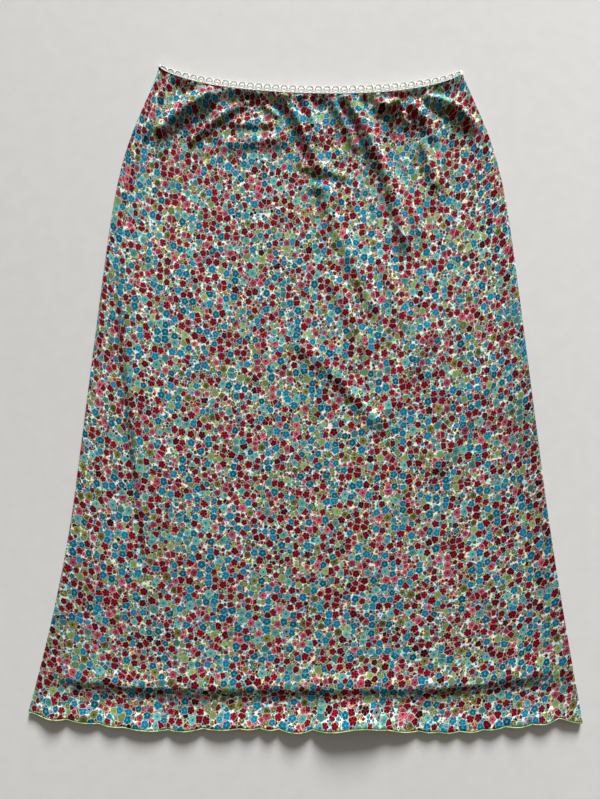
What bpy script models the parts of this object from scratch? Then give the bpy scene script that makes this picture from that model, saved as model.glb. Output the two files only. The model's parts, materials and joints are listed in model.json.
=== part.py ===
"""Midi skirt in printed stretch mesh, laid flat on its back.

The skirt lies on the plane z = 0, front up, waist towards +Y and hem towards -Y. Four pieces are
built: a front and a back panel, the picot elastic sewn inside the waist, and the rolled hem edge.

Every shape is worked out in millimetres on the laid-out skirt: "across" runs from side to side with
zero in the middle, "down" runs from the highest corner of the waist towards the hem, and "height"
is above the surface that the skirt lies on.
"""

from collections import namedtuple

import bpy
import numpy as np

MM = 0.001

# Cloth
WALL = 1.2
GAP = 0.3

# Outline: half the laid width grows from the waist as the gathers open over the hips, flares
# steadily down the skirt, and kicks out a little more towards the hem.
WAIST_HALF = 168.0
HIP_SPREAD = 32.0
HIP_REACH = 76.0
FLARE = 0.13
KICK = 15.0
KICK_START = 480.0
KICK_REACH = 250.0
LEAN = 6.5

# Waist: the elastic's top edge dips in the middle and sits a little lower on one corner.
WAIST_DIP = 22.0
WAIST_TILT = 1.5

# Hem: the lower edge curves up to both side seams, more on the left than on the right.
HEM_LEVEL = 737.0
HEM_RISE_LEFT = 17.0
HEM_RISE_RIGHT = 10.0

# Middle of the whole laid-out piece, which is placed over the origin
MIDDLE_ACROSS = 1.8
MIDDLE_DOWN = 371.0

# Waist elastic: a strip that stands above the cloth, least at the corners, and runs down behind it.
PICOT_REACH = 10.0
PICOT_REACH_CORNER = 2.0
BAND_OVERLAP = 6.0
BAND_LOW = 2.1
BAND_HIGH = 3.9

# Side rolls: the tube of cloth folds round at each side instead of lying pressed.
SEAM_HEIGHT = 3.0
ROLL_RISE = 2.4
ROLL_DEPTH = 2.7
ROLL_RELAX = 12.0
ROLL_ANGLES = (0.0, 10.0, 35.0, 62.0, 90.0)
ROLL_INSETS = (8.0, 18.0)

# Heights of the front panel's middle surface
BACK_REST = WALL / 2
FRONT_REST = 2.3
BAND_REST = BAND_HIGH + WALL + GAP
BAND_HOLD = 7.0
BAND_FADE = 14.0
FOLD_START = 3.0
GATHER_LOFT = 3.5
GATHER_AT = 32.0
GATHER_REACH = 24.0
HEM_LOFT = 1.6
HEM_REACH = 24.0
SOFTNESS = 0.8

# Hem waves: the stretched edge stands up in waves that fade within a few centimetres.
WAVE_FADE = 15.0
WAVE_SWELL = 0.3
WAVE_COLUMN = 11.0

# Hem edge thread
EDGE_RADIUS = 1.2

Fold = namedtuple("Fold", "across0 down0 across1 down1 bow width0 width1 height0 height1")
FOLDS = (
    # gathers that fan out of the waist, from left to right
    Fold(-125, 32, -163, 66, 0, 6, 8, 3.0, 1.5),
    Fold(-98, 34, -168, 80, 4, 6, 9, -6.0, -2.0),
    Fold(-74, 38, -122, 72, 0, 5, 7, 4.0, 2.0),
    Fold(-66, 44, -118, 84, 0, 6, 8, -6.0, -2.0),
    Fold(-80, 60, -38, 58, -5, 5, 5, 2.5, 2.0),
    Fold(-74, 90, -42, 90, -2, 6, 6, -3.0, -2.0),
    Fold(-18, 36, -2, 60, 0, 6, 7, 3.0, 1.0),
    Fold(-32, 38, 2, 92, 0, 6, 8, -5.0, -2.0),
    Fold(4, 34, 36, 106, 2, 7, 9, 3.5, 1.5),
    Fold(46, 42, 104, 156, 4, 7, 10, -5.0, -2.0),
    Fold(64, 46, 148, 214, -6, 8, 12, 4.0, 1.5),
    Fold(82, 44, 130, 66, 0, 7, 9, -5.0, -2.5),
    Fold(106, 38, 148, 60, 0, 6, 8, 3.5, 2.0),
    Fold(136, 36, 186, 78, 0, 7, 9, -5.0, -2.0),
    Fold(136, 92, 154, 150, 0, 8, 9, -2.5, -1.5),
    # long shallow folds of the skirt
    Fold(18, 150, 76, 268, -4, 10, 12, -1.2, -1.2),
    Fold(-4, 308, 82, 390, 4, 12, 12, 2.0, 2.0),
    Fold(152, 446, 208, 346, 0, 12, 12, 1.8, 1.8),
    Fold(-190, 150, -186, 360, -6, 7, 9, -1.5, -1.0),
    Fold(-178, 340, -144, 496, 0, 11, 12, 1.6, 1.0),
    # cloth pressed down above the hem, from side to side
    Fold(-285, 690, 300, 690, 6, 12, 12, -2.0, -2.0),
)

Wave = namedtuple("Wave", "end lift")
WAVE_START = -303.0
WAVES = (
    Wave(-265, 5.0),
    Wave(-228, 4.0),
    Wave(-197, 5.5),
    Wave(-150, 6.5),
    Wave(-112, 5.0),
    Wave(-80, 7.5),
    Wave(-44, 5.0),
    Wave(10, 9.0),
    Wave(46, 8.0),
    Wave(68, 6.0),
    Wave(121, 8.0),
    Wave(165, 7.0),
    Wave(197, 6.0),
    Wave(221, 5.0),
    Wave(250, 5.5),
    Wave(283, 5.0),
    Wave(303, 4.0),
)

# Where the front panel's cross-rows lie, in millimetres below its top edge and above its hem
ROWS_BELOW_WAIST = (0, 10, 19, 28, 38, 50, 64, 80, 98, 120, 148, 182, 225, 280, 345, 420, 500, 580)
ROWS_ABOVE_HEM = (62, 46, 33, 22, 13, 6, 0)
BACK_BELOW_WAIST = (0, 12, 30, 55, 90, 140, 210, 300, 400, 500, 590)
BACK_ABOVE_HEM = (60, 30, 0)
BACK_COLUMNS = 18
BAND_COLUMNS = 34
BAND_END_ANGLES = (60.0, 0.0, -60.0)

# Colours: red, green, blue
PRINT_COLOUR = (0.23, 0.22, 0.21)
PICOT_COLOUR = (0.84, 0.86, 0.76)
EDGE_COLOUR = (0.30, 0.55, 0.12)


def ease(x):
    """A smooth step: 0 below 0, 1 above 1, and 3x^2 - 2x^3 between."""
    x = np.clip(x, 0.0, 1.0)
    return x * x * (3.0 - 2.0 * x)


def half_width(down):
    """Half the laid width: waist, plus the spread of the hips, a steady flare, and the hem's kick."""
    hips = HIP_SPREAD * (1.0 - np.exp(-((np.maximum(down, 0.0) / HIP_REACH) ** 1.6)))
    kick = KICK * np.clip((down - KICK_START) / KICK_REACH, 0.0, None) ** 1.7
    return WAIST_HALF + hips + FLARE * down + kick


def centre_line(down):
    """The skirt lies a little to one side, and comes back to the middle at its hem."""
    return LEAN * (1.0 - np.clip((down - KICK_START) / KICK_REACH, 0.0, 1.0) ** 2)


def waist_line(fraction):
    """Level of the elastic's top edge: a round dip in the middle on a slight tilt."""
    round_dip = np.clip(1.0 - fraction**2, 0.0, 1.0) ** 0.7
    return WAIST_TILT * (1.0 + fraction) + WAIST_DIP * round_dip


def picot_reach(fraction):
    """How far the elastic stands above the cloth: its full reach, less with the fourth power."""
    return PICOT_REACH - (PICOT_REACH - PICOT_REACH_CORNER) * fraction**4


def hem_line(fraction):
    """Level of the cloth's lower edge, which rises with the fourth power towards each side."""
    left = HEM_RISE_LEFT * np.clip(-fraction, 0.0, 1.0) ** 4
    right = HEM_RISE_RIGHT * np.clip(fraction, 0.0, 1.0) ** 4
    return HEM_LEVEL - left - right


def hem_wave(across):
    """Lift of the hem edge: between its two ends each wave is 1 - |s|^1.6, s from -1 to 1."""
    ends = np.array([WAVE_START] + [wave.end for wave in WAVES])
    lifts = np.array([wave.lift for wave in WAVES])
    middle = (ends[1:] + ends[:-1]) / 2
    reach = (ends[1:] - ends[:-1]) / 2
    s = np.abs(across[..., None] - middle) / reach
    return (lifts * np.clip(1.0 - s**1.6, 0.0, None)).sum(axis=-1)


def fold_relief(across, down):
    """Sum of the folds: each is a ridge or trough along a bowed line, with a bell-shaped section."""
    table = np.array(FOLDS, float)
    across0, down0, across1, down1, bow, width0, width1, height0, height1 = table.T
    step_across = across1 - across0
    step_down = down1 - down0
    length = np.hypot(step_across, step_down)
    from_across = across[..., None] - across0
    from_down = down[..., None] - down0
    along = (from_across * step_across + from_down * step_down) / length**2
    s = np.clip(along, 0.0, 1.0)
    side = (from_across * step_down - from_down * step_across) / length - 4 * bow * s * (1 - s)
    past = (along - s) * length
    width = width0 + (width1 - width0) * s
    height = height0 + (height1 - height0) * s
    return (height * np.exp(-(side**2 + past**2) / width**2)).sum(axis=-1)


def front_height(across, down, inset, top, hem):
    """Height of the front's middle surface: it rests on the back, or on the elastic at the waist,
    and is lifted by the gathers, folds and hem waves. At the sides it blends into the roll."""
    below = down - top
    above = hem - down
    rest = FRONT_REST + (BAND_REST - FRONT_REST) * ease(1.0 - (below - BAND_HOLD) / BAND_FADE)
    gathered = GATHER_LOFT * np.exp(-(((below - GATHER_AT) / GATHER_REACH) ** 2))
    raised = HEM_LOFT * np.exp(-((above / HEM_REACH) ** 2))
    folds = fold_relief(across, down) * ease((below - FOLD_START) / BAND_FADE)
    waves = hem_wave(across) * np.exp(-((above / WAVE_FADE) ** 1.4))
    relief = gathered + raised + folds + waves
    height = rest + SOFTNESS * np.logaddexp(0.0, relief / SOFTNESS)
    roll = np.exp(-((np.maximum(inset - ROLL_DEPTH, 0.0) / ROLL_RELAX) ** 2))
    return height + (SEAM_HEIGHT + ROLL_RISE - height) * roll


def side_columns():
    """How far in from the side each column of the roll lies, and its rise from seam to full height."""
    angles = np.radians(ROLL_ANGLES)
    insets = np.concatenate([ROLL_DEPTH * (1.0 - np.cos(angles)), ROLL_INSETS])
    rises = np.concatenate([np.sin(angles), np.ones(len(ROLL_INSETS))])
    return insets, rises


def wave_columns():
    """Fractions across the hem where the front's columns end, a few in each wave."""
    places = []
    start = WAVE_START
    for wave in WAVES:
        pieces = max(2, round((wave.end - start) / WAVE_COLUMN))
        places.extend(np.linspace(start, wave.end, pieces, endpoint=False))
        start = wave.end
    places.append(start)
    inner = half_width(HEM_LEVEL) - ROLL_INSETS[-1]
    places = np.array(places)
    return places[np.abs(places) < inner - WAVE_COLUMN / 2] / inner


def panel_grid(waist_fractions, hem_fractions, below_waist, above_hem):
    """Rows of points on one panel, top to hem, with the roll's own columns at both sides.

    The columns between them are spaced by one set of fractions at the waist and glide to another at
    the hem. Returns across, down, inset from the side, rise of the roll, and the top and hem levels."""
    insets, rises = side_columns()
    rows = len(below_waist) + len(above_hem)
    glide = ease(np.linspace(0.0, 1.0, rows))[:, None]
    between = waist_fractions + (hem_fractions - waist_fractions) * glide
    side = np.ones((rows, len(insets)))
    fraction = np.concatenate([-side, between, side], axis=1)
    top = waist_line(fraction) + picot_reach(fraction)
    hem = hem_line(fraction)
    upper = top[: len(below_waist)] + np.array(below_waist, float)[:, None]
    lower = hem[len(below_waist) :] - np.array(above_hem, float)[:, None]
    down = np.concatenate([upper, lower])
    half = half_width(down) - WALL / 2
    held = np.full(between.shape[1], insets[-1])
    offset = fraction * (half - np.concatenate([insets, held, insets[::-1]]))
    rise = np.concatenate([rises, np.ones(len(held)), rises[::-1]])
    return offset + centre_line(down), down, half - np.abs(offset), rise, top, hem


def place(across, down, height):
    """Points in metres in the part's frame, with the middle of the piece over the origin."""
    centred = (across - MIDDLE_ACROSS, MIDDLE_DOWN - down, height)
    return np.stack(np.broadcast_arrays(*centred), axis=-1) * MM


def loft(name, points, collection, material, closed=False):
    """A sheet through rows of points, joined end to end where it is closed, with its wall added."""
    rows, columns = points.shape[:2]
    index = np.arange(rows * columns).reshape(rows, columns)
    near = index if closed else index[:, :-1]
    far = np.roll(index, -1, axis=1) if closed else index[:, 1:]
    quads = np.stack([near[:-1], near[1:], far[1:], far[:-1]], axis=-1).reshape(-1, 4)
    mesh = bpy.data.meshes.new(name)
    mesh.from_pydata(points.reshape(-1, 3).tolist(), [], quads.tolist())
    mesh.shade_smooth()
    mesh.materials.append(material)
    sheet = bpy.data.objects.new(name, mesh)
    collection.objects.link(sheet)
    solidify = sheet.modifiers.new("wall", "SOLIDIFY")
    solidify.thickness = WALL * MM
    solidify.offset = 0.0
    solidify.use_even_offset = True


def front_panel(collection, material):
    """The front: gathered under the elastic, lightly folded, its hem in waves. Returns the hem."""
    hem_fractions = wave_columns()
    waist_fractions = np.linspace(-1.0, 1.0, len(hem_fractions) + 2)[1:-1]
    across, down, inset, rise, top, hem = panel_grid(
        waist_fractions, hem_fractions, ROWS_BELOW_WAIST, ROWS_ABOVE_HEM
    )
    height = front_height(across, down, inset, top, hem)
    seam = SEAM_HEIGHT + GAP / 2
    height = seam + (height - seam) * rise
    swell = WAVE_SWELL * hem_wave(across) * np.exp(-(hem - down) / WAVE_FADE)
    points = place(across, down + swell, height)
    loft("front_panel", points, collection, material)
    return points[-1]


def back_panel(collection, material):
    """The back: flat on the surface, turned up at both sides to the front. Returns the hem."""
    fractions = np.linspace(-1.0, 1.0, BACK_COLUMNS + 2)[1:-1]
    across, down, _, rise, _, _ = panel_grid(
        fractions, fractions, BACK_BELOW_WAIST, BACK_ABOVE_HEM
    )
    seam = SEAM_HEIGHT - GAP / 2
    height = seam + (BACK_REST - seam) * rise
    points = place(across, down, height)[:, ::-1]
    loft("back_panel", points, collection, material)
    return points[-1]


def waist_elastic(collection, material):
    """The picot elastic: a loop flattened into a front and a back strand with small round ends."""
    strand = np.linspace(-1.0, 1.0, BAND_COLUMNS)
    angles = np.radians(BAND_END_ANGLES)
    turn = (BAND_HIGH - BAND_LOW) / 2
    middle = (BAND_HIGH + BAND_LOW) / 2
    fractions = np.concatenate([strand, np.ones(len(angles)), strand[::-1], -np.ones(len(angles))])
    beyond = np.concatenate(
        [np.zeros(BAND_COLUMNS), np.cos(angles), np.zeros(BAND_COLUMNS), -np.cos(angles)]
    )
    heights = np.concatenate(
        [
            np.full(BAND_COLUMNS, BAND_HIGH),
            middle + turn * np.sin(angles),
            np.full(BAND_COLUMNS, BAND_LOW),
            middle - turn * np.sin(angles),
        ]
    )
    top = waist_line(fractions)
    reach_up = picot_reach(fractions)
    down = np.stack([top, top + reach_up, top + reach_up + BAND_OVERLAP])
    reach = half_width(down) - WALL / 2 - ROLL_DEPTH
    across = centre_line(down) + fractions * reach + turn * beyond
    points = place(across, down, heights)
    loft("waist_elastic", points, collection, material, closed=True)


def hem_edge(front_hem, back_hem, collection, material):
    """The rolled edge: a round thread just off the cloth's lower edge, in one loop round the hem."""
    drop = (EDGE_RADIUS + GAP) * MM
    lowest = EDGE_RADIUS * MM
    path = np.concatenate([front_hem[:-1], back_hem[:-1]])
    path[:, 1] -= drop
    path[:, 2] = np.maximum(path[:, 2], lowest)
    curve = bpy.data.curves.new("hem_edge", "CURVE")
    curve.dimensions = "3D"
    curve.bevel_depth = EDGE_RADIUS * MM
    curve.bevel_resolution = 1
    curve.use_fill_caps = True
    spline = curve.splines.new("POLY")
    spline.points.add(len(path) - 1)
    spline.points.foreach_set("co", np.c_[path, np.ones(len(path))].ravel())
    spline.use_cyclic_u = True
    curve.materials.append(material)
    collection.objects.link(bpy.data.objects.new("hem_edge", curve))


def cloth_material(name, colour, roughness):
    """A plain material in the piece's average colour."""
    material = bpy.data.materials.new(name)
    material.use_nodes = True
    shader = material.node_tree.nodes["Principled BSDF"]
    shader.inputs["Base Color"].default_value = (*colour, 1.0)
    shader.inputs["Roughness"].default_value = roughness
    shader.inputs["Metallic"].default_value = 0.0
    return material


def main():
    for item in list(bpy.data.objects):
        bpy.data.objects.remove(item, do_unlink=True)
    skirt = bpy.data.collections.new("midi_skirt")
    bpy.context.scene.collection.children.link(skirt)
    printed = cloth_material("printed_mesh", PRINT_COLOUR, 0.85)
    picot = cloth_material("picot_elastic", PICOT_COLOUR, 0.75)
    thread = cloth_material("hem_thread", EDGE_COLOUR, 0.6)
    front_hem = front_panel(skirt, printed)
    back_hem = back_panel(skirt, printed)
    waist_elastic(skirt, picot)
    hem_edge(front_hem, back_hem, skirt, thread)


main()
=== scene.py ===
"""Looks of a midi skirt in printed stretch mesh, laid flat on its back.

The skirt lies on the plane z = 0, front up, waist towards +Y and hem towards -Y. The shapes are
worked out in millimetres on the laid-out skirt: "across" runs from side to side with zero in the
middle, "down" runs from the highest corner of the waist towards the hem, and "height" is above the
surface. Each surface is a grid of rows and columns, worked out as whole arrays.
"""

import json
import math
from collections import namedtuple

import bpy
import numpy as np
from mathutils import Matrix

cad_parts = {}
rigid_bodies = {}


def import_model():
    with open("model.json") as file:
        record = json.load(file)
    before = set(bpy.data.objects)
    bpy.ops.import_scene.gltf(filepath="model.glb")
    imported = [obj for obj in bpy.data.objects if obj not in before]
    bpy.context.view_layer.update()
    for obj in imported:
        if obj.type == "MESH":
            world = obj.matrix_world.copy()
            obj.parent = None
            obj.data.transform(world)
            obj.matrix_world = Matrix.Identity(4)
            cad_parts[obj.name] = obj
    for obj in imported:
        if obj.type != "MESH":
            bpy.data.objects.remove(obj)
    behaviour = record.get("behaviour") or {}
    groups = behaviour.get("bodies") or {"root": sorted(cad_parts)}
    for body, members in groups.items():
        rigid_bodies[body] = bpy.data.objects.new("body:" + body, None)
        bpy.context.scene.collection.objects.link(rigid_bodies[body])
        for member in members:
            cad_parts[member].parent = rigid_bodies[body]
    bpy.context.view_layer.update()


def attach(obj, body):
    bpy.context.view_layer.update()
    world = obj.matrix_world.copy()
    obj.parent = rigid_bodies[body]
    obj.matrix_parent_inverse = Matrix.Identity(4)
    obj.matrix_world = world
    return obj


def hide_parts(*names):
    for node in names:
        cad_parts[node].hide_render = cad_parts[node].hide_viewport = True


for item in list(bpy.data.objects):
    bpy.data.objects.remove(item, do_unlink=True)
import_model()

MM = 0.001

# Outline, by the solids' own formulas
WAIST_HALF = 168.0
HIP_SPREAD = 32.0
HIP_REACH = 76.0
HIP_POWER = 1.6
FLARE = 0.13
KICK = 15.0
KICK_START = 480.0
KICK_REACH = 250.0
KICK_POWER = 1.7
LEAN = 6.5
WAIST_DIP = 21.8
WAIST_DIP_POWER = 0.7
WAIST_TILT = 3.2
PICOT_REACH = 6.6
PICOT_REACH_CORNER = 2.6
PICOT_FULLER = 0.12
PICOT_FULLER_FROM = -0.4
HEM_LEVEL = 737.0
HEM_RISE_LEFT = 17.0
HEM_RISE_RIGHT = 10.0
HEM_HALF = 303.0
MIDDLE_ACROSS = 1.8
MIDDLE_DOWN = 371.0

# Cloth
CLOTH = 0.6
SIDE_INSET = 0.6
SEAM_HEIGHT = 3.0
SEAM_GAP = 0.3
FRONT_REST = 2.3
SOFTNESS = 0.8

# Back: how high it rests, the wave along its hem and how that wave strays, and its highest relief
BACK_REST = 0.35
BACK_BAND_LIFT = 1.7
BACK_WAVE_LIFT = 0.55
BACK_WAVE_RUN = 5.2
BACK_STRAY = 1.4
BACK_STRAY_RUN = 31.0
BACK_WAVE_FADE = 9.0
BACK_RELIEF_MOST = 1.1
BACK_SIDE_RUN = 20.0

# Side rolls: the tube of cloth folds round at each side
ROLL_RISE_LEFT = 1.8
ROLL_RISE_RIGHT = 3.4
ROLL_DEPTH = 2.4
ROLL_RELAX = 20.0
ROLL_RELAX_TOP = 7.0
RELAX_RUN = 150.0
ROLL_ANGLES = (0.0, 10.0, 24.0, 40.0, 58.0, 76.0, 90.0)

# Waist: the cloth's edge stands on the elastic, then drops, then rises into the gathers
BAND_REST = 6.4
BAND_HOLD = 2.5
BAND_FADE = 9.5
GATHER_LOFT = 1.3
GATHER_AT = 30.0
GATHER_ABOVE = 9.0
GATHER_BELOW = 30.0
FOLD_START = 2.0
FOLD_FADE = 5.0

# The front swells away from its waist and sides, and sags a little before the step above the hem
SWELL_LIFT = 6.5
SWELL_RUN = 300.0
SWELL_SAG = 2.0
SAG_RUN = 150.0
SWELL_SIDE = 60.0

# Above the hem the cloth drops off a low step with a raised lip. The step's foot keeps its distance
# from the hanging edge, and lies higher towards the right.
STEP_FOOT = 26.0
STEP_RUN = 21.0
STEP_LIP = 2.4
STEP_REACH = 11.0
STEP_SHIFT = 9.0
STEP_SHIFT_START = 130.0
STEP_SHIFT_RUN = 150.0

# Below the step the cloth sinks a little, then rises to its rim, where the waves are. Each wave
# dies away upwards, and also swells downwards by a share of its lift.
HEM_DROP = 0.7
HEM_REACH = 14.0
RIM_LIFT = 3.0
RIM_AT = 2.0
RIM_REACH = 11.0
WAVE_FADE = 18.0
WAVE_FADE_POWER = 1.4
WAVE_POWER = 1.2
WAVE_FLAT = 28.0
WAVE_SWELL = 0.12

# Left side: the cloth steps up sharply along one long line, and falls away slowly beyond it
LEDGE_ACROSS = (-208.0, -207.0, -202.0, -197.0, -192.0, -184.0, -176.0, -168.0)
LEDGE_DOWN = (150.0, 240.0, 306.0, 350.0, 400.0, 477.0, 540.0, 600.0)
LEDGE_LIFT = 8.0
LEDGE_RUN = 12.0
LEDGE_FALL = 60.0
LEDGE_FALL_POWER = 1.5
LEDGE_GROW = 110.0
LEDGE_DIE = 170.0

# A crease runs rightwards between two ends, bowed to its upper side where its bow is above zero. A
# lean above zero makes its upper flank steeper and its lower one gentler, and one below zero does
# the reverse. A height below zero makes it a trough.
Crease = namedtuple("Crease", "across0 down0 across1 down1 bow width0 width1 height0 height1 lean")
FRONT_CREASES = (
    # gathers that fan out of the waist, from left to right
    Crease(-177, 78, -153, 21, 0, 4.5, 4.5, 6, 7, 0),
    Crease(-158, 73, -102, 35, 3.5, 7, 9.5, 9.5, 12.5, -0.3),
    Crease(-124, 84, -64, 42, 3, 4, 4.5, 5, 6.5, 0.1),
    Crease(-66, 40, -20, 45, 0, 8, 8, -2.5, -2.5, 0),
    Crease(-76, 66, -34, 67, 0, 6, 6, 3.4, 3.2, -0.2),
    Crease(-45, 43, -31, 56, 0, 4, 4, 6.5, 5.5, 0),
    Crease(-82, 87, -27, 83, 0, 9, 8, 4.4, 4, 0),
    Crease(-24, 34, 16, 116, 3, 9.5, 8.5, 10, 6, -0.3),
    Crease(-4, 28, 16, 84, 1, 5.5, 6, 10, 5.5, 0),
    Crease(31, 42, 58, 92, 1, 4.5, 5, 6, 4.5, 0),
    Crease(47, 40, 110, 196, 9, 9.5, 8, 11, 7, -0.15),
    Crease(113, 150, 138, 205, 0, 5, 5, 2.6, 1.6, 0.1),
    Crease(84, 46, 102, 48, 0, 6, 6, 10, 10, -0.3),
    Crease(101, 43, 114, 65, 0, 4, 4, 8, 6, 0),
    Crease(120, 48, 139, 80, 3, 8, 8, 10, 6.5, -0.35),
    Crease(132, 90, 146, 132, 0, 6, 7, 6.5, 5, -0.15),
    Crease(138, 38, 190, 69, 6, 5.5, 7.5, 9.5, 9, 0),
    Crease(0, 115, 42, 125, 2, 5, 5, 3.2, 2.8, -0.2),
    Crease(12, 134, 38, 148, 1, 5.5, 5.5, 3.6, 2.6, 0.3),
    Crease(20, 140, 77, 270, -2, 8, 9, 5.6, 4.4, -0.1),
    Crease(118, 160, 134, 196, 0, 5, 6, 2.4, 1.6, 0.2),
    # low folds of the skirt
    Crease(86, 218, 112, 290, 0, 7, 8, 3.6, 3, 0.1),
    Crease(32, 240, 68, 316, 0, 6.5, 7.5, 3.4, 3, 0.1),
    Crease(-4, 312, 76, 393, 4, 6.5, 6.5, 4.6, 4.6, 0.1),
    Crease(88, 396, 142, 298, 5, 9, 10, 4.4, 4, 0),
    Crease(148, 444, 208, 338, -2, 7.5, 8, 4.4, 3.6, 0),
    Crease(-150, 440, -140, 520, 0, 9, 12, 1.2, 0.8, 0),
)

BACK_CREASES = (
    Crease(-176, 120, -130, 40, -4, 9, 7, 0.5, 0.9, 0),
    Crease(-118, 150, -90, 44, 0, 9, 6, 0.5, 0.8, 0),
    Crease(-60, 118, -48, 46, -3, 8, 6, 0.4, 0.9, 0),
    Crease(-10, 48, -4, 170, -3, 7, 10, 0.8, 0.4, 0),
    Crease(32, 46, 60, 128, 2, 6, 8, 0.9, 0.5, 0),
    Crease(74, 44, 120, 176, 4, 7, 10, 0.8, 0.5, 0),
    Crease(124, 38, 172, 110, -3, 6, 9, 0.9, 0.5, 0),
    Crease(-170, 240, -60, 340, 8, 10, 12, 0.6, 0.5, 0),
    Crease(30, 300, 150, 250, -6, 9, 12, 0.6, 0.5, 0),
    Crease(-40, 470, 70, 560, 6, 10, 12, 0.6, 0.5, 0),
    Crease(150, 500, 215, 420, 0, 9, 11, 0.5, 0.5, 0),
    Crease(-230, 640, -120, 690, 5, 10, 12, 0.5, 0.6, 0),
)

# Fine wrinkles scattered by a seeded draw: how many, the spans of their sizes, and how far they
# turn, in degrees. They keep to a share of the half width, and point away from a spot so far above
# the waist, and their bow is at most so large a share of their length.
Scatter = namedtuple("Scatter", "seed count downs lengths widths heights spread")
WRINKLES = (
    Scatter(11, 60, (34, 120), (14, 46), (3, 6), (0.3, 0.9), 35),
    Scatter(12, 80, (110, 660), (40, 120), (9, 22), (0.2, 0.7), 80),
)
WRINKLE_SIDES = 0.94
WRINKLE_FOCUS = 120.0
WRINKLE_BOW = 0.1
WRINKLE_WIDENS = 1.2
WRINKLE_SINKS = 0.6

# The hem's waves: where each starts and ends, and its lift
Wave = namedtuple("Wave", "start end lift")
WAVES = (
    Wave(-303, -264, 6.6),
    Wave(-264, -228, 3),
    Wave(-228, -197, 3.6),
    Wave(-206, -151, 3.8),
    Wave(-151, -113, 4.6),
    Wave(-113, -66, 4.4),
    Wave(-76, -47, 4),
    Wave(-50, -26, 4.8),
    Wave(-30, 11, 7.2),
    Wave(8, 102, 13),
    Wave(64, 127, 6.4),
    Wave(127, 151, 2.2),
    Wave(148, 172, 2.6),
    Wave(174, 200, 3.4),
    Wave(196, 224, 3.2),
    Wave(224, 254, 4.2),
    Wave(252, 286, 4),
    Wave(282, 303, 4),
)

# Where the hem hangs lower than its even line, or is drawn up: middle, reach and drop
Hang = namedtuple("Hang", "across reach drop")
HANGS = (
    Hang(-160, 45, 3.5),
    Hang(0, 24, 2),
    Hang(64, 30, -6.5),
    Hang(156, 58, 5.5),
    Hang(280, 11, -4),
    Hang(303, 12, 4),
)

# The cloth darkens towards its lower sides
RIGHT_DIM = 0.2
RIGHT_DIM_START = 260.0
LEFT_DIM = 0.16
LEFT_DIM_START = 480.0
DIM_RUN = 140.0
DIM_REACH = 52.0
DIM_END = 716.0
DIM_FADE = 22.0

# Grids: columns across, and rows that lie closer together within a reach of either end
Rows = namedtuple("Rows", "top_reach top_step bottom_reach bottom_step middle_step")
FRONT_COLUMNS = 236
FRONT_ROWS = Rows(130.0, 2.0, 62.0, 2.2, 7.0)
BACK_COLUMNS = 120
BACK_ROWS = Rows(120.0, 4.0, 40.0, 2.5, 7.0)

# Print: it fans out slightly from the waist to the hem, about one line down the skirt. The back
# shows another stretch of it, so many metres on.
FAN_ACROSS = -70.0
FAN_WAIST = 0.87
FAN_HEM = 1.055
BACK_PRINT_SHIFT = (1.3, 0.4)

# Waist trim, from its top: loops over a fine web, whose lower edge is cut into arches, then a
# narrow tape with stitches on it. The cloth's own edge lies behind both. The trim has an upper and
# a lower strand, which lie closer together at the ends of the waist.
TRIM_LEVEL = 20.0
STRANDS = (8.8, 0.85)
STRAND_DROP = 0.3
WAIST_END = 0.999
LOOP_PITCH = 9.4
LOOP_HALF = 3.5
LOOP_TALL = 3.2
LOOP_SHARE = 0.7
LOOP_ANGLES = (-30.0, 210.0, 13)
LOOP_THREAD = 0.56
WEB = (1.6, 7.8)
WEB_DEEP = 0.12
ARCH_HALF = 2.5
ARCH_TALL = 2.0
TAPE = (7.7, 8.5)
TAPE_DEEP = 0.0
TRIM_THICK = 0.6
STRAND_COLUMNS = 361
END_ANGLES = (70.0, -70.0, 7)
THREAD_SIDES = 6
STITCH_PITCH = 4.7
STITCH_LONG = 3.2
STITCH_THREAD = 0.42
STITCH_POINTS = 5
STITCH_TAPER = 0.4

# Section of a tape: how far down it each corner lies, and how far in
TAPE_DOWN = (0.0, 0.12, 0.88, 1.0, 0.88, 0.12)
TAPE_IN = (0.5, 0.0, 0.0, 0.5, 1.0, 1.0)

# Hem thread
BEAD_RADIUS = 0.75
BEAD_DROP = 0.4
BEAD_PITCH = 2.0
BEAD_RIDGE = 0.16
BEAD_SIDES = 8
BEAD_STEP = 0.6

# Stage and camera
FLOOR_SIZE = 6.0
FLOOR_LEVEL = -0.0001
CAMERA_HEIGHT = 0.67
CAMERA_SPAN = 0.895
CAMERA_AT = (-0.0063, -0.0014)

# Light: a soft disc, and even light that is stronger from beyond the waist
KEY_DISTANCE = 9.0
KEY_ELEVATION = 22.0
KEY_AZIMUTH = 9.0
KEY_SIZE = 3.0
KEY_POWER = 1490.0
KEY_COLOUR = (0.975, 1.0, 1.025)
AMBIENT = 0.19
AMBIENT_LEAN = 0.9
AMBIENT_COLOUR = (1.0, 0.93, 0.85, 1.0)


# ---------------- form of the laid-out skirt


def ease(x):
    """A smooth step: 0 below 0, 1 above 1, and 3x^2 - 2x^3 between."""
    x = np.clip(x, 0.0, 1.0)
    return x * x * (3.0 - 2.0 * x)


def bell(x, reach, power=2):
    """A bell shape: e to the power -(x/reach)^power. Where the power isn't 2, x is at least 0."""
    return np.exp(-((x / reach) ** power))


def half_width(down):
    """Half the laid width: the waist's, and the hips' spread, a steady flare and the hem's kick."""
    hips = HIP_SPREAD * (1.0 - bell(np.maximum(down, 0.0), HIP_REACH, HIP_POWER))
    kick = KICK * np.clip((down - KICK_START) / KICK_REACH, 0.0, None) ** KICK_POWER
    return WAIST_HALF + hips + FLARE * down + kick


def centre_line(down):
    """The skirt lies a little to one side, and comes back to the middle at its hem, by 1 - s^2."""
    return LEAN * (1.0 - np.clip((down - KICK_START) / KICK_REACH, 0.0, 1.0) ** 2)


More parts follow.
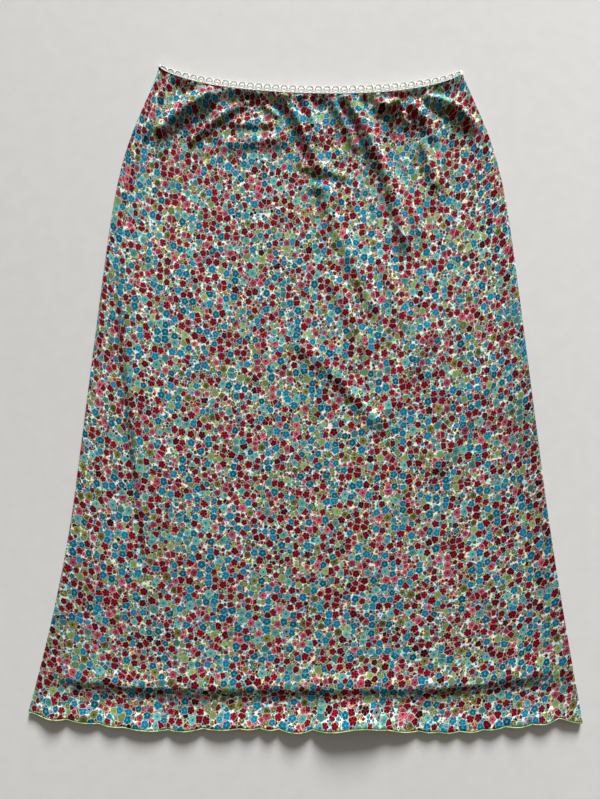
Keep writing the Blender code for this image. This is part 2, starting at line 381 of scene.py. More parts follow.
def waist_line(fraction):
    """Level of the elastic's top edge: a round dip in the middle on a slight tilt."""
    round_dip = np.clip(1.0 - fraction**2, 0.0, 1.0) ** WAIST_DIP_POWER
    return WAIST_TILT * (1.0 + fraction) + WAIST_DIP * round_dip


def picot_reach(fraction):
    """How far the elastic stands above the cloth: more towards the right, and less at the corners,
    with the fourth power."""
    fuller = 1.0 + PICOT_FULLER * ease(fraction - PICOT_FULLER_FROM)
    return fuller * (PICOT_REACH - (PICOT_REACH - PICOT_REACH_CORNER) * fraction**4)


def hem_line(fraction):
    """Even level of the cloth's lower edge, which rises with the fourth power towards each side."""
    left = HEM_RISE_LEFT * np.clip(-fraction, 0.0, 1.0) ** 4
    right = HEM_RISE_RIGHT * np.clip(fraction, 0.0, 1.0) ** 4
    return HEM_LEVEL - left - right


def hem_hang(across):
    """How far the edge lies below that level, summed over bell-shaped stretches."""
    return sum(hang.drop * bell(across - hang.across, hang.reach) for hang in HANGS)


def hem_wave(across):
    """Lift of the hem edge: between its ends each wave is its lift times 1 - |s|^n, s from -1 to 1,
    where n grows with the wave's reach. Where waves overlap, the highest counts."""
    start, end, lift = np.array(WAVES, float).T
    reach = (end - start) / 2
    s = np.abs(across[..., None] - (start + end) / 2) / reach
    shape = np.clip(1.0 - s ** (WAVE_POWER + reach / WAVE_FLAT), 0.0, None)
    return (lift * shape).max(axis=-1)


def crease_relief(creases, across, down):
    """Sum of the creases: each is a ridge with a bell-shaped section, along a line that is bowed by
    4 bow s (1 - s) and goes on as a bell past its ends."""
    relief = np.zeros(across.shape)
    for row in np.array(creases, float):
        across0, down0, across1, down1, bow, width0, width1, height0, height1, lean = row
        step_across = across1 - across0
        step_down = down1 - down0
        length = math.hypot(step_across, step_down)
        from_across = across - across0
        from_down = down - down0
        along = (from_across * step_across + from_down * step_down) / length**2
        s = np.clip(along, 0.0, 1.0)
        side = (from_across * step_down - from_down * step_across) / length - 4 * bow * s * (1 - s)
        past = (along - s) * length
        width = width0 + (width1 - width0) * s
        height = height0 + (height1 - height0) * s
        flank = width * np.where(side > 0, 1.0 - lean, 1.0 + lean)
        relief += height * np.exp(-((side / flank) ** 2) - (past / width) ** 2)
    return relief


def scattered_wrinkles(scatter):
    """Creases for small wrinkles, drawn evenly from the given spans and turned by up to the spread
    to either side. They widen and sink as they go."""
    draw = np.random.default_rng(scatter.seed)
    count = scatter.count
    down = draw.uniform(*scatter.downs, count)
    across = draw.uniform(-WRINKLE_SIDES, WRINKLE_SIDES, count) * half_width(down)
    turn = np.radians(draw.uniform(-scatter.spread, scatter.spread, count))
    heading = np.arctan2(across, down + WRINKLE_FOCUS) + turn
    length = draw.uniform(*scatter.lengths, count)
    width = draw.uniform(*scatter.widths, count)
    height = draw.uniform(*scatter.heights, count) * draw.choice([-1.0, 1.0], count)
    wrinkles = Crease(
        across0=across,
        down0=down,
        across1=across + length * np.sin(heading),
        down1=down + length * np.cos(heading),
        bow=draw.uniform(-WRINKLE_BOW, WRINKLE_BOW, count) * length,
        width0=width,
        width1=width * WRINKLE_WIDENS,
        height0=height,
        height1=height * WRINKLE_SINKS,
        lean=np.zeros(count),
    )
    return np.stack(wrinkles, axis=-1)


def side_ledge(across, down):
    """The long step at the left: up within a short run along its line, then falling away slowly."""
    line = np.interp(down, LEDGE_DOWN, LEDGE_ACROSS)
    beyond = across - line
    rise = ease((beyond + LEDGE_RUN / 2) / LEDGE_RUN)
    fall = bell(np.maximum(beyond, 0.0), LEDGE_FALL, LEDGE_FALL_POWER)
    grown = ease((down - LEDGE_DOWN[0]) / LEDGE_GROW)
    strength = grown * ease((LEDGE_DOWN[-1] - down) / LEDGE_DIE)
    return LEDGE_LIFT * rise * fall * strength


def front_height(across, down, inset, top, hem):
    """Height of the front cloth: its rest on the back or the elastic, and over it all that lifts
    it: gathers, creases, the swell and the lip that end at the step, the waves, the rim and the
    ledge. Their sum passes through a soft floor, s ln(1 + e^(sum/s)), so that troughs stay shallow.
    At the sides the height blends into the roll's."""
    below = np.maximum(down - top, 0.0)
    above = np.maximum(hem - down, 0.0)
    on_band = ease(1.0 - (below - BAND_HOLD) / BAND_FADE)
    rest = FRONT_REST + (BAND_REST - FRONT_REST) * on_band
    reach = np.where(below < GATHER_AT, GATHER_ABOVE, GATHER_BELOW)
    gathered = GATHER_LOFT * bell(below - GATHER_AT, reach)
    folds = crease_relief(FRONT_CREASES, across, down)
    for scatter in WRINKLES:
        folds += crease_relief(scattered_wrinkles(scatter), across, down)
    folds *= ease((below - FOLD_START) / FOLD_FADE)
    shift = STEP_SHIFT * ease((across - STEP_SHIFT_START) / STEP_SHIFT_RUN)
    foot = STEP_FOOT + hem_hang(across) + shift
    from_lip = above - foot - STEP_RUN
    swell = SWELL_LIFT * ease(below / SWELL_RUN) * ease(inset / SWELL_SIDE)
    swell -= SWELL_SAG * (1.0 - ease(from_lip / SAG_RUN)) * ease(inset / SWELL_SIDE)
    lip = STEP_LIP * bell(from_lip, STEP_REACH)
    step = (swell + lip) * ease((above - foot) / STEP_RUN)
    waves = hem_wave(across) * bell(above, WAVE_FADE, WAVE_FADE_POWER)
    rim = RIM_LIFT * bell(above - RIM_AT, RIM_REACH)
    relief = gathered + folds + step + waves + rim + side_ledge(across, down)
    sunk = rest - HEM_DROP * bell(above, HEM_REACH)
    height = sunk + SOFTNESS * np.logaddexp(0.0, relief / SOFTNESS)
    relax = ROLL_RELAX_TOP + (ROLL_RELAX - ROLL_RELAX_TOP) * ease(below / RELAX_RUN)
    roll = bell(np.maximum(inset - ROLL_DEPTH, 0.0), relax)
    crown = SEAM_HEIGHT + np.where(across < 0, ROLL_RISE_LEFT, ROLL_RISE_RIGHT)
    return height + (crown - height) * roll


def back_height(across, down, inset, top, hem):
    """Height of the back cloth: on the elastic at its top, then on the surface, with low creases
    and a fine sine wave along its hem, whose turns stray with a slower sine."""
    above = np.maximum(hem - down, 0.0)
    on_band = BACK_BAND_LIFT * ease(1.0 - (down - top - BAND_HOLD) / BAND_FADE)
    creases = np.maximum(crease_relief(BACK_CREASES, across, down), 0.0)
    stray = BACK_STRAY * np.sin(across / BACK_STRAY_RUN)
    wave = BACK_WAVE_LIFT * (1.0 + np.sin(across / BACK_WAVE_RUN + stray))
    relief = np.minimum(creases + wave * bell(above, BACK_WAVE_FADE), BACK_RELIEF_MOST)
    return BACK_REST + on_band + relief * ease(inset / BACK_SIDE_RUN)


# ---------------- grids and meshes


def row_shares(rows):
    """Shares of the way down at which a panel's rows lie, worked out for a middle column: close
    together near both ends and wider between."""
    length = HEM_LEVEL - waist_line(0.0) - PICOT_REACH
    top = np.arange(0.0, rows.top_reach, rows.top_step)
    bottom = length - np.arange(0.0, rows.bottom_reach, rows.bottom_step)[::-1]
    count = max(2, round((bottom[0] - rows.top_reach) / rows.middle_step) + 1)
    middle = np.linspace(rows.top_reach, bottom[0], count)[:-1]
    return np.concatenate([top, middle, bottom]) / length


def cloth_grid(columns, shares):
    """Rows and columns of one panel: across, down, inset from its side, roll angle, top and hem.

    A row lies at one share of the way from the top edge to the hem. The outer columns are the
    roll's own, at a few angles round its quarter circle, and the others are evenly spaced."""
    angles = np.radians(ROLL_ANGLES)
    insets = ROLL_DEPTH * (1.0 - np.cos(angles))
    between = np.linspace(-1.0, 1.0, columns)[1:-1]
    side = np.ones(len(angles))
    fraction = np.concatenate([-side, between, side])[None, :]
    held = np.full(len(between), insets[-1])
    inset = np.concatenate([insets, held, insets[::-1]])
    rise = np.concatenate([np.sin(angles), np.ones(len(between)), np.sin(angles)[::-1]])
    top = waist_line(fraction) + picot_reach(fraction)
    hem = hem_line(fraction) + hem_hang(fraction * HEM_HALF)
    down = top + (hem - top) * shares[:, None]
    half = half_width(down) - SIDE_INSET / 2
    offset = fraction * (half - inset)
    return offset + centre_line(down), down, half - np.abs(offset), rise, top, hem


def place(across, down, height):
    """Points in metres in the part's frame, with the middle of the skirt over the origin."""
    centred = (across - MIDDLE_ACROSS, MIDDLE_DOWN - down, height)
    return np.stack(np.broadcast_arrays(*centred), axis=-1) * MM


def print_map(points, shares):
    """Where each point lies on the flat print, in metres: the length along its row from the fan's
    line, divided by how far the print fans out there, and the length down its column."""
    fan = FAN_WAIST + (FAN_HEM - FAN_WAIST) * shares[:, None]
    along_row = np.linalg.norm(np.diff(points, axis=1), axis=-1)
    u = np.concatenate([np.zeros((len(points), 1)), np.cumsum(along_row, axis=1)], axis=1)
    start = np.abs(points[0, :, 0] - (FAN_ACROSS - MIDDLE_ACROSS) * MM).argmin()
    u = (u - u[:, start : start + 1]) / fan
    down_column = np.linalg.norm(np.diff(points, axis=0), axis=-1)
    v = np.concatenate([np.zeros((1, points.shape[1])), np.cumsum(down_column, axis=0)])
    return np.stack([u, -v], axis=-1)


def side_dim(across, down, inset):
    """How much darker the cloth is made towards its lower sides."""
    right = RIGHT_DIM * ease((down - RIGHT_DIM_START) / DIM_RUN) * (across > 0)
    left = LEFT_DIM * ease((down - LEFT_DIM_START) / DIM_RUN) * (across < 0)
    fading = ease((DIM_END - down) / DIM_FADE)
    return (right + left) * fading * bell(inset, DIM_REACH)


def mesh_object(name, points, faces, material, uv=None, dim=None):
    """An object at the origin from points and faces, smooth, with its print map and its dimming
    where it has them."""
    mesh = bpy.data.meshes.new(name)
    mesh.from_pydata(points.reshape(-1, 3).tolist(), [], faces)
    if uv is not None:
        layer = mesh.uv_layers.new(name="print_map")
        corners = np.empty(len(mesh.loops), np.int32)
        mesh.loops.foreach_get("vertex_index", corners)
        layer.data.foreach_set("uv", uv.reshape(-1, 2)[corners].astype(np.float32).ravel())
    if dim is not None:
        darker = mesh.attributes.new("dim", "FLOAT", "POINT")
        darker.data.foreach_set("value", dim.astype(np.float32).ravel())
    mesh.shade_smooth()
    mesh.materials.append(material)
    piece = bpy.data.objects.new(name, mesh)
    bpy.context.scene.collection.objects.link(piece)
    return piece


def numbered(points):
    """The numbers of a grid's points, in the shape of the grid."""
    return np.arange(points[..., 0].size).reshape(points.shape[:-1])


def quads(*corners):
    """Faces with four corners, from an array of point numbers for each corner."""
    return np.stack(corners, axis=-1).reshape(-1, 4).tolist()


def cloth_piece(name, points, material, uv, dim=None):
    """A panel from its grid of points: an open sheet, with its thickness half to each side."""
    index = numbered(points)
    faces = quads(index[:-1, :-1], index[1:, :-1], index[1:, 1:], index[:-1, 1:])
    piece = mesh_object(name, points, faces, material, uv, dim)
    wall = piece.modifiers.new("wall", "SOLIDIFY")
    wall.thickness = CLOTH * MM
    wall.offset = 0.0
    wall.use_even_offset = True
    return piece


def tubes(paths, radius, closed):
    """Points and faces of many tubes: paths is (tubes, points, 3), radius (tubes, points, sides).

    Each ring lies across its path, spanned by the level sideways direction and the one above. An
    open tube has a cap on each end."""
    if closed:
        ahead = np.roll(paths, -1, axis=1) - np.roll(paths, 1, axis=1)
    else:
        ahead = np.gradient(paths, axis=1)
    ahead /= np.linalg.norm(ahead, axis=-1, keepdims=True)
    sideways = np.cross(ahead, [0.0, 0.0, 1.0])
    sideways /= np.linalg.norm(sideways, axis=-1, keepdims=True)
    above = np.cross(sideways, ahead)
    turn = np.linspace(0.0, 2 * np.pi, radius.shape[-1], endpoint=False)
    out = sideways[:, :, None] * np.cos(turn)[:, None]
    out = out + above[:, :, None] * np.sin(turn)[:, None]
    rings = paths[:, :, None] + out * radius[..., None]
    index = numbered(rings)
    near = index if closed else index[:, :-1]
    far = np.roll(index, -1, axis=1) if closed else index[:, 1:]
    faces = quads(near, np.roll(near, -1, axis=2), np.roll(far, -1, axis=2), far)
    if not closed:
        faces += index[:, 0, ::-1].tolist() + index[:, -1].tolist()
    return rings.reshape(-1, 3), faces


# ---------------- materials


class Nodes:
    """Adds nodes to one tree. An input is given as another node's output or as a plain value."""

    def __init__(self, tree):
        self.tree = tree

    def give(self, node, inputs):
        for name, value in inputs.items():
            if isinstance(value, bpy.types.NodeSocket):
                self.tree.links.new(value, node.inputs[name])
            else:
                node.inputs[name].default_value = value

    def add(self, kind, inputs=None, **settings):
        node = self.tree.nodes.new(kind)
        for name, value in settings.items():
            setattr(node, name, value)
        self.give(node, inputs or {})
        return node

    def math(self, operation, a, b=0.0, c=0.0):
        return self.add("ShaderNodeMath", {0: a, 1: b, 2: c}, operation=operation).outputs[0]

    def times(self, a, b):
        return self.math("MULTIPLY", a, b)

    def minus(self, a, b):
        return self.math("SUBTRACT", a, b)

    def vector(self, operation, a, b):
        return self.add("ShaderNodeVectorMath", {0: a, 1: b}, operation=operation).outputs[0]

    def scaled(self, vector, scale):
        inputs = {"Vector": vector, "Scale": scale}
        return self.add("ShaderNodeVectorMath", inputs, operation="SCALE").outputs[0]

    def parts(self, vector):
        return self.add("ShaderNodeSeparateXYZ", {0: vector}).outputs

    def noise(self, vector, scale, detail=1.0):
        inputs = {"Vector": vector, "Scale": scale, "Detail": detail}
        return self.add("ShaderNodeTexNoise", inputs).outputs

    def cells(self, vector, scale, jitter, feature="F1", dimensions="3D"):
        """How far a spot is from the point or the border of its cell in a jittered grid."""
        inputs = {"Vector": vector, "Scale": scale, "Randomness": jitter}
        settings = {"voronoi_dimensions": dimensions, "feature": feature}
        return self.add("ShaderNodeTexVoronoi", inputs, **settings).outputs

    def smooth(self, value, low, high, to_low=0.0, to_high=1.0):
        """A smooth step from one output to another, as the value goes from low to high."""
        inputs = {0: value, 1: low, 2: high, 3: to_low, 4: to_high}
        return self.add("ShaderNodeMapRange", inputs, interpolation_type="SMOOTHSTEP").outputs[0]

    def mix(self, factor, a, b, blend="MIX"):
        inputs = {0: factor, 6: a, 7: b}
        return self.add("ShaderNodeMix", inputs, data_type="RGBA", blend_type=blend).outputs[2]

    def steps(self, value, shares, colours):
        """One of the colours, picked by a value from 0 to 1, each for its share of the way."""
        ramp = self.add("ShaderNodeValToRGB", {"Fac": value})
        ramp.color_ramp.interpolation = "CONSTANT"
        stops = ramp.color_ramp.elements
        stops.remove(stops[1])
        starts = np.concatenate([[0.0], np.cumsum(shares)[:-1] / np.sum(shares)])
        for number, (start, colour) in enumerate(zip(starts, colours)):
            stop = stops[0] if number == 0 else stops.new(start)
            stop.color = colour
        return ramp.outputs[0]


def dye(red, green, blue):
    """A screen's colour made linear: with s = c/255, s/12.92 up to 0.04045, and above that
    ((s + 0.055)/1.055)^2.4."""
    screen = np.array([red, green, blue]) / 255
    linear = np.where(screen <= 0.04045, screen / 12.92, ((screen + 0.055) / 1.055) ** 2.4)
    return (*linear.tolist(), 1.0)


GROUND_PALE = dye(255, 255, 253)
GROUND_AQUA = dye(188, 240, 236)
GROUND_CREAM = dye(252, 242, 184)
CRIMSON = dye(138, 0, 26)
CRIMSON_HEART = dye(160, 4, 44)
WINE = dye(62, 0, 12)
TURQUOISE = dye(6, 132, 168)
TURQUOISE_HEART = dye(44, 160, 190)
TEAL = dye(4, 56, 70)
PINK = dye(212, 90, 118)
ROSE = dye(232, 164, 164)
AQUA = dye(110, 194, 188)
AQUA_HEART = dye(36, 114, 116)
OLIVE = dye(142, 134, 60)
OLIVE_HEART = dye(58, 58, 16)
LIME = dye(160, 194, 116)
SALMON = dye(214, 78, 96)
ICE = dye(140, 172, 194)
NAVY = dye(8, 12, 28)

Bloom = namedtuple("Bloom", "share petals heart")
LARGE_BLOOMS = (
    Bloom(0.48, CRIMSON, CRIMSON_HEART),
    Bloom(0.30, TURQUOISE, TURQUOISE_HEART),
    Bloom(0.03, WINE, CRIMSON),
    Bloom(0.11, AQUA, AQUA_HEART),
    Bloom(0.05, OLIVE, OLIVE_HEART),
    Bloom(0.10, PINK, CRIMSON),
    Bloom(0.05, LIME, OLIVE),
    Bloom(0.01, ICE, NAVY),
)
MIDDLE_BLOOMS = (
    Bloom(0.28, CRIMSON, CRIMSON_HEART),
    Bloom(0.25, OLIVE, LIME),
    Bloom(0.16, TURQUOISE, TURQUOISE_HEART),
    Bloom(0.20, SALMON, CRIMSON),
    Bloom(0.15, LIME, OLIVE),
    Bloom(0.12, AQUA, TEAL),
    Bloom(0.03, WINE, WINE),
    Bloom(0.04, ICE, NAVY),
)
SMALL_BLOOMS = (
    Bloom(0.20, CRIMSON, CRIMSON_HEART),
    Bloom(0.20, OLIVE, OLIVE_HEART),
    Bloom(0.10, TURQUOISE, TURQUOISE_HEART),
    Bloom(0.10, SALMON, CRIMSON),
    Bloom(0.17, LIME, OLIVE),
    Bloom(0.07, ROSE, SALMON),
    Bloom(0.11, AQUA, TEAL),
    Bloom(0.05, ICE, NAVY),
    Bloom(0.06, TEAL, NAVY),
)
DOTS = (
    Bloom(0.25, NAVY, NAVY),
    Bloom(0.40, OLIVE, OLIVE),
    Bloom(0.15, WINE, WINE),
    Bloom(0.20, SALMON, SALMON),
)

# Sorts of motif: sizes in millimetres, and shares of the cells that hold one, of the radius in a
# lobe's depth, and of jitter
MEASURES = ("Cell", "Smallest", "Largest", "Present", "Halo", "Lobe", "Jitter")
Motif = namedtuple("Motif", "blooms cell smallest largest present halo lobe jitter")
MOTIFS = (
    Motif(DOTS, 2.4, 0.7, 1.2, 0.5, 0.05, 0.10, 0.9),
    Motif(SMALL_BLOOMS, 4.2, 1.7, 2.7, 0.96, 0.07, 0.15, 0.9),
    Motif(MIDDLE_BLOOMS, 6.4, 2.4, 3.4, 0.76, 0.17, 0.16, 0.9),
    Motif(LARGE_BLOOMS, 9.6, 3.5, 4.8, 0.90, 0.21, 0.15, 0.85),
)

# Flowers: how soft their edges are, in millimetres, the heart's share of the radius, the veins and
# the tones. A draw turns one chance into another.
PETALS = 5
PETAL_EDGE = 0.1
HEART_EDGE = 0.12
BORDER_EDGE = (0.03, 0.2)
HEART_SHARE = 0.27
VEIN_WIDTH = (0.10, 0.34)
VEIN_START = (0.3, 0.6)
VEIN_PALE = 0.26
TONE_LEAST = 0.32
TONE_SPAN = 0.60
LUCK_DRAW = 37.7
TONE_DRAW = 17.3

# Print, in millimetres: the shift from one layer to the next, the fine noise that shakes them, and
# the broad one that tints the ground
LAYER_SHIFT = np.array([37.0, 19.0, 0.0])
SHAKE_SCALE = 0.45
SHAKE_REACH = 1.3
TINT_SCALE = 0.16
AQUA_FROM = (0.48, 0.58)
CREAM_FROM = (0.46, 0.38)

# Knits: the size of a stitch and the depth of its bump, in metres, and the span of roughness
Knit = namedtuple("Knit", "stitch depth roughness")
MESH_KNIT = Knit(0.0007, 0.00012, (0.75, 0.88))
ELASTIC_KNIT = Knit(0.0005, 0.0001, (0.65, 0.9))
THREAD_KNIT = Knit(0.0004, 0.00008, (0.45, 0.65))
KNIT_JITTER = 0.25
KNIT_EDGE = (0.1, 0.75)
KNIT_BUMP = 0.5
FIBRE_SCALE = 2.6
FIBRE_SHARE = 0.4
NOISE_RANGE = (0.3, 0.7)
FIBRE_DULLS = (0.93, 1.0)

# Yarns: their dyes, and the spans of noise over which one dye passes into the next
ELASTIC_DEEP = dye(238, 238, 226)
ELASTIC_PALE = dye(252, 252, 246)
ELASTIC_MIX = (0.3, 0.6)
THREAD_LIME = dye(122, 158, 82)
# the thread's pale dye is painted highlight in patches, and its deep dye is painted shade in the
# knit's hollows
THREAD_PAINTED_HIGHLIGHT = dye(202, 214, 146)
THREAD_PAINTED_SHADE = dye(52, 96, 44)
THREAD_HIGHLIGHT_SCALE = 160.0
THREAD_HIGHLIGHT_SPAN = (0.42, 0.66)
THREAD_SHADE_HOLLOWS = (0.3, 0.5, 0.4, 0.0)

# Floor: where painted light and shade change its brightness, in metres, and from which factor to
# which
FLOOR_DEEP = dye(223, 221, 218)
FLOOR_PALE = dye(226, 224, 221)
FLOOR_GRAIN_SCALE = 60.0
# painted shade to the left and beyond the waist, and painted light near the hem and to the right
SHADE_PAINTED_LEFT = (-0.5, 0.05, 0.085, 0.0)
SHADE_PAINTED_BEYOND = (-0.35, 0.15, 0.0, 1.0)
LIGHT_PAINTED_NEAR = (-0.5, 0.0, 1.035, 1.0)
LIGHT_PAINTED_RIGHT = (0.1, 0.4, 0.0, 0.05)


def new_group(name, inputs, outputs):
    """A shader node group with the named sockets: its nodes, the sockets that it is given, and the
    node that takes its results."""
    group = bpy.data.node_groups.new(name, "ShaderNodeTree")
    for in_out, sockets in (("INPUT", inputs), ("OUTPUT", outputs)):
        for label, kind in sockets.items():
            group.interface.new_socket(name=label, in_out=in_out, socket_type=kind)
    start = group.nodes.new("NodeGroupInput")
    end = group.nodes.new("NodeGroupOutput")
    return Nodes(group), start.outputs, end


def motif_group():
    """One layer of five-petalled flowers, one in each cell of a jittered grid.

    A flower's edge is its radius times 1 - lobe (1 - |cos(2.5 angle)|), and it stops short of its
    cell's border. The halo is the same outline, grown by its width. Veins run out between the
    petals, from round the heart. The tone, drawn for each flower, darkens its petals."""
    results = ("Pick", "Petals", "Halo", "Heart", "Vein", "Tone")
    nodes, given, end = new_group(
        "motif_layer",
        {"Place": "NodeSocketVector", **dict.fromkeys(MEASURES, "NodeSocketFloat")},
        dict.fromkeys(results, "NodeSocketFloat"),
    )
    grid = (given["Place"], nodes.math("DIVIDE", 1.0, given["Cell"]), given["Jitter"])
    cells = nodes.cells(*grid, dimensions="2D")
    borders = nodes.cells(*grid, feature="DISTANCE_TO_EDGE", dimensions="2D")
    offset = nodes.vector("SUBTRACT", given["Place"], cells["Position"])
    distance = nodes.add("ShaderNodeVectorMath", {0: offset}, operation="LENGTH").outputs["Value"]
    parts = nodes.parts(offset)
    chance = nodes.add("ShaderNodeSeparateColor", {0: cells["Color"]}).outputs
    angle = nodes.math("ARCTAN2", parts[1], parts[0])
    turned = nodes.math("MULTIPLY_ADD", chance[2], 2 * math.pi, nodes.times(angle, PETALS / 2))
    lobes = nodes.math("ABSOLUTE", nodes.math("COSINE", turned))
    span = nodes.minus(given["Largest"], given["Smallest"])
    radius = nodes.math("MULTIPLY_ADD", span, chance[1], given["Smallest"])
    dent = nodes.times(given["Lobe"], nodes.minus(1.0, lobes))
    outline = nodes.times(radius, nodes.minus(1.0, dent))
    luck = nodes.math("FRACT", nodes.times(chance[1], LUCK_DRAW))
    there = nodes.math("LESS_THAN", luck, given["Present"])
    inside = nodes.minus(outline, distance)
    clear = nodes.smooth(nodes.times(borders["Distance"], given["Cell"]), *BORDER_EDGE)
    petals = nodes.times(nodes.smooth(inside, -PETAL_EDGE, PETAL_EDGE), clear)
    grown = nodes.math("ADD", inside, given["Halo"])
    halo = nodes.smooth(grown, -PETAL_EDGE, PETAL_EDGE)
    in_heart = nodes.minus(nodes.times(radius, HEART_SHARE), distance)
    vein_gap = nodes.smooth(lobes, *VEIN_WIDTH, 1.0, 0.0)
    vein_out = nodes.smooth(nodes.math("DIVIDE", distance, radius), *VEIN_START)
    tone = nodes.math("FRACT", nodes.times(chance[1], TONE_DRAW))
    made = {
        "Pick": chance[0],
        "Petals": nodes.times(petals, there),
        "Halo": nodes.times(halo, there),
        "Heart": nodes.smooth(in_heart, -HEART_EDGE, HEART_EDGE),
        "Vein": nodes.times(vein_gap, vein_out),
        "Tone": nodes.math("MULTIPLY_ADD", tone, TONE_SPAN, TONE_LEAST),
    }
    nodes.give(end, made)
    return nodes.tree


def print_group(motif):
    """The whole print: an off-white ground with faint tints, then the dots and the small, middle
    and large flowers, each sort with a halo of the ground round it."""
    nodes, given, end = new_group(
        "flower_print", {"Map": "NodeSocketVector"}, {"Color": "NodeSocketColor"}
    )
    flat = nodes.scaled(given["Map"], 1.0 / MM)
    wobble = nodes.noise(flat, SHAKE_SCALE)["Color"]
    shake = nodes.vector("SUBTRACT", wobble, (0.5, 0.5, 0.5))
    shaken = nodes.vector("ADD", flat, nodes.scaled(shake, SHAKE_REACH))
    tint = nodes.noise(flat, TINT_SCALE)[0]
    ground = nodes.mix(nodes.smooth(tint, *AQUA_FROM), GROUND_PALE, GROUND_AQUA)
    ground = nodes.mix(nodes.smooth(tint, *CREAM_FROM), ground, GROUND_CREAM)
    colour = ground
    for number, row in enumerate(MOTIFS):
        settings = dict(zip(MEASURES, row[1:]))
        settings["Place"] = nodes.vector("ADD", shaken, number * LAYER_SHIFT)
        layer = nodes.add("ShaderNodeGroup", settings, node_tree=motif).outputs
        shares, petal_dyes, heart_dyes = zip(*row.blooms)
        petals = nodes.steps(layer["Pick"], shares, petal_dyes)
        heart = nodes.steps(layer["Pick"], shares, heart_dyes)
        veined = nodes.mix(nodes.times(layer["Vein"], VEIN_PALE), petals, ground)
        toned = nodes.scaled(veined, layer["Tone"])
        flower = nodes.mix(layer["Heart"], toned, heart)
        colour = nodes.mix(layer["Halo"], colour, ground)
        colour = nodes.mix(layer["Petals"], colour, flower)
    nodes.give(end, {"Color": colour})
    return nodes.tree


def knit_group():
    """Height of a fine knit: rows of small stitches, and finer fibre over them."""
    nodes, given, end = new_group(
        "fine_knit",
        {"Place": "NodeSocketVector", "Stitch": "NodeSocketFloat"},
        {"Height": "NodeSocketFloat", "Fibre": "NodeSocketFloat"},
    )
    grid = nodes.scaled(given["Place"], nodes.math("DIVIDE", 1.0, given["Stitch"]))
    stitches = nodes.cells(grid, 1.0, KNIT_JITTER)
    fibre = nodes.noise(grid, FIBRE_SCALE, detail=3.0)[0]
    height = nodes.smooth(stitches["Distance"], *KNIT_EDGE, 1.0, 0.0)
    mixed = nodes.math("MULTIPLY_ADD", fibre, FIBRE_SHARE, height)
    nodes.give(end, {"Height": mixed, "Fibre": fibre})
    return nodes.tree


def new_material(name):
    """A material with a Principled BSDF. Returns it, its nodes and the shader."""
    material = bpy.data.materials.new(name)
    material.use_nodes = True
    return material, Nodes(material.node_tree), material.node_tree.nodes["Principled BSDF"]


def knitted(nodes, knit, place_in, kind):
    """A kind of knit on a piece: its fibre, and its roughness and bump as inputs of the shader."""
    settings = {"Place": place_in, "Stitch": kind.stitch}
    made = nodes.add("ShaderNodeGroup", settings, node_tree=knit).outputs
    heights = {"Height": made["Height"], "Distance": kind.depth, "Strength": KNIT_BUMP}
    bump = nodes.add("ShaderNodeBump", heights)
    rough = nodes.smooth(made["Fibre"], *NOISE_RANGE, *kind.roughness)
    return made["Fibre"], {"Roughness": rough, "Normal": bump.outputs["Normal"]}


def printed_mesh_material(printed, knit):
    """Printed stretch mesh: the flower print, dulled a little by the knit, and matte."""
    material, nodes, shader = new_material("printed_mesh")
    flat = nodes.add("ShaderNodeUVMap", uv_map="print_map").outputs["UV"]
    flowers = nodes.add("ShaderNodeGroup", {"Map": flat}, node_tree=printed).outputs["Color"]
    fibre, surface = knitted(nodes, knit, flat, MESH_KNIT)
    dim = nodes.add("ShaderNodeAttribute", attribute_name="dim").outputs["Fac"]
    shade = nodes.minus(nodes.smooth(fibre, *NOISE_RANGE, *FIBRE_DULLS), dim)
    dulled = nodes.mix(1.0, flowers, shade, blend="MULTIPLY")
    nodes.give(shader, {"Base Color": dulled, **surface, "Specular IOR Level": 0.05})
    return material


def picot_material(knit):
    """Soft off-white elastic yarn."""
    material, nodes, shader = new_material("picot_elastic")
    spot = nodes.add("ShaderNodeTexCoord").outputs["Object"]
    fibre, surface = knitted(nodes, knit, spot, ELASTIC_KNIT)
    colour = nodes.mix(nodes.smooth(fibre, *ELASTIC_MIX), ELASTIC_DEEP, ELASTIC_PALE)
    nodes.give(shader, {"Base Color": colour, **surface})
    nodes.give(shader, {"Specular IOR Level": 0.3, "Sheen Weight": 0.2})
    return material


def thread_material(knit):
    """Lime overlock thread with a slight gloss, with painted highlight in pale patches and painted
    shade in the hollows of its knit.
    """
    material, nodes, shader = new_material("hem_thread")
    spot = nodes.add("ShaderNodeTexCoord").outputs["Object"]
    fibre, surface = knitted(nodes, knit, spot, THREAD_KNIT)
    # pale patches of painted highlight on the thread
    highlight_patch = nodes.noise(spot, THREAD_HIGHLIGHT_SCALE, detail=2.0)[0]
    colour = nodes.mix(nodes.smooth(highlight_patch, *THREAD_HIGHLIGHT_SPAN), THREAD_LIME, THREAD_PAINTED_HIGHLIGHT)
    # painted shade where the thread's knit lies hollow
    colour = nodes.mix(nodes.smooth(fibre, *THREAD_SHADE_HOLLOWS), colour, THREAD_PAINTED_SHADE)
    nodes.give(shader, {"Base Color": colour, **surface, "Sheen Weight": 0.15})
    return material


